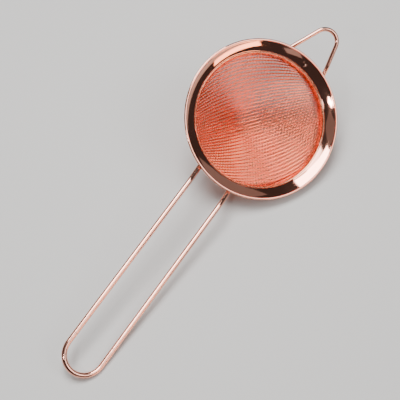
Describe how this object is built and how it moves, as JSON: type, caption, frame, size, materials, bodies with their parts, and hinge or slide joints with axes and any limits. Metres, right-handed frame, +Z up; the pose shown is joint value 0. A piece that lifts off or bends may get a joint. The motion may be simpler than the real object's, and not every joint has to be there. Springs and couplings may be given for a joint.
{
  "type": "bar strainer",
  "caption": "Fine-mesh bar strainer with a rounded cone bowl, a dished metal rim, a long two-wire loop handle and a small wire rest hook opposite it.",
  "frame": {"origin": "middle, in plan, of the whole strainer's box as it lies at rest, on the surface it lies on", "axes": "+Z up from that surface; the handle points along -X and the rest hook to +X; the open mouth faces up and leans 31.8 degrees towards -Y and -X"},
  "size_m": [0.2276, 0.0776, 0.0513],
  "materials": {
    "polished_copper": "mirror-polished copper plating on steel",
    "copper_wire": "bright copper plating on drawn steel wire",
    "copper_cloth": "fine woven wire cloth, copper-plated, satin",
    "weld_metal": "plated-over weld, slightly rough"
  },
  "bodies": {
    "root": {"rim_ring": "polished_copper", "retaining_band": "polished_copper", "mesh_basket": "copper_cloth", "handle_wire": "copper_wire", "rest_hook": "copper_wire", "handle_weld_left": "weld_metal", "handle_weld_right": "weld_metal", "hook_weld_left": "weld_metal", "hook_weld_right": "weld_metal"}
  },
  "joints": []
}
